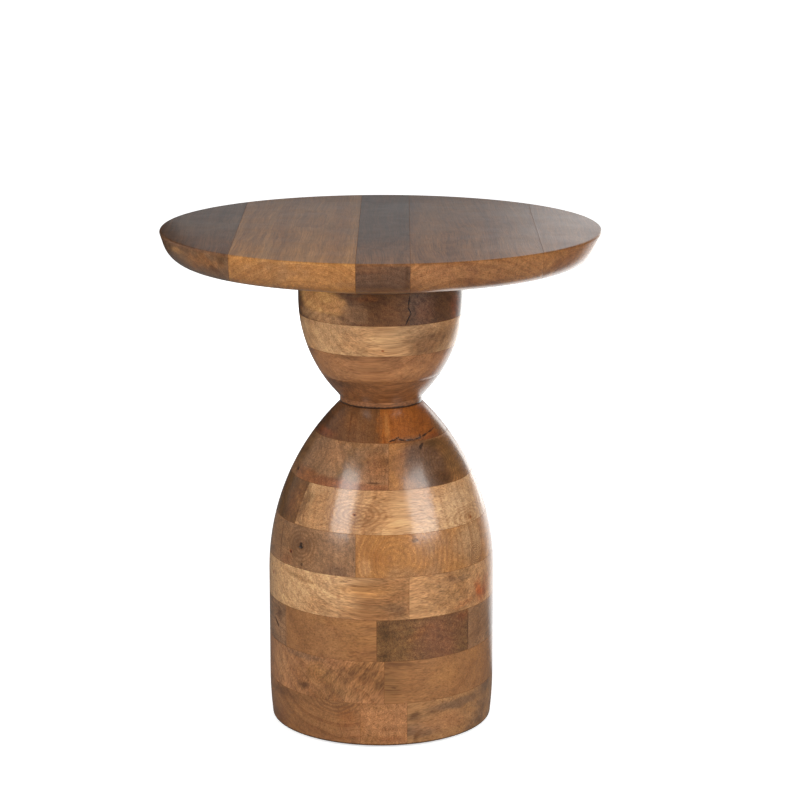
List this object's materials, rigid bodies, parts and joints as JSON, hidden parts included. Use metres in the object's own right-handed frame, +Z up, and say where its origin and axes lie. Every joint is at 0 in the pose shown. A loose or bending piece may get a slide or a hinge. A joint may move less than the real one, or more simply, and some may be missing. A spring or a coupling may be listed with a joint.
{
  "type": "accent table",
  "caption": "Round solid-wood accent table: a dished top on a small cup and a bullet-shaped base, turned from brick-laminated boards.",
  "frame": {"origin": "centre of the foot circle at floor level, under the felt pads", "axes": "+Z up, front is -Y, +X to the right when seen from the front"},
  "size_m": [0.445, 0.445, 0.514],
  "materials": {
    "honey_wood": "light honey-coloured hardwood, satin lacquer",
    "tan_wood": "orange-tan hardwood, satin lacquer",
    "red_brown_wood": "reddish to purplish brown hardwood, satin lacquer",
    "olive_wood": "olive to grey-brown hardwood, satin lacquer",
    "dark_wood": "dark brown heartwood, satin lacquer",
    "tenon_wood": "plain pale hardwood, unfinished",
    "pad_felt": "dense dark brown felt"
  },
  "bodies": {
    "root": {"base_course_1_left_board": "red_brown_wood", "base_course_1_middle_board": "tan_wood", "base_course_1_right_board": "olive_wood", "base_course_2_left_board": "olive_wood", "base_course_2_right_board": "tan_wood", "base_course_3_far_left_board": "dark_wood", "base_course_3_left_board": "tan_wood", "base_course_3_right_board": "red_brown_wood", "base_course_3_far_right_board": "olive_wood", "base_course_4_left_board": "honey_wood", "base_course_4_right_board": "tan_wood", "base_course_5_left_board": "red_brown_wood", "base_course_5_right_board": "tan_wood", "base_course_6_front_board": "honey_wood", "base_course_6_back_board": "olive_wood", "base_course_7_left_board": "olive_wood", "base_course_7_right_board": "tan_wood", "base_course_8_left_board": "dark_wood", "base_course_8_right_board": "tan_wood", "cup_course_1_whole_board": "red_brown_wood", "cup_course_2_whole_board": "tan_wood", "cup_course_3_whole_board": "honey_wood", "cup_course_4_left_board": "tan_wood", "cup_course_4_right_board": "dark_wood", "top_far_left_plank": "olive_wood", "top_left_plank": "tan_wood", "top_centre_plank": "red_brown_wood", "top_right_plank": "tan_wood", "top_far_right_plank": "tan_wood", "neck_tenon": "tenon_wood", "top_tenon": "tenon_wood", "felt_pads": "pad_felt"}
  },
  "joints": []
}
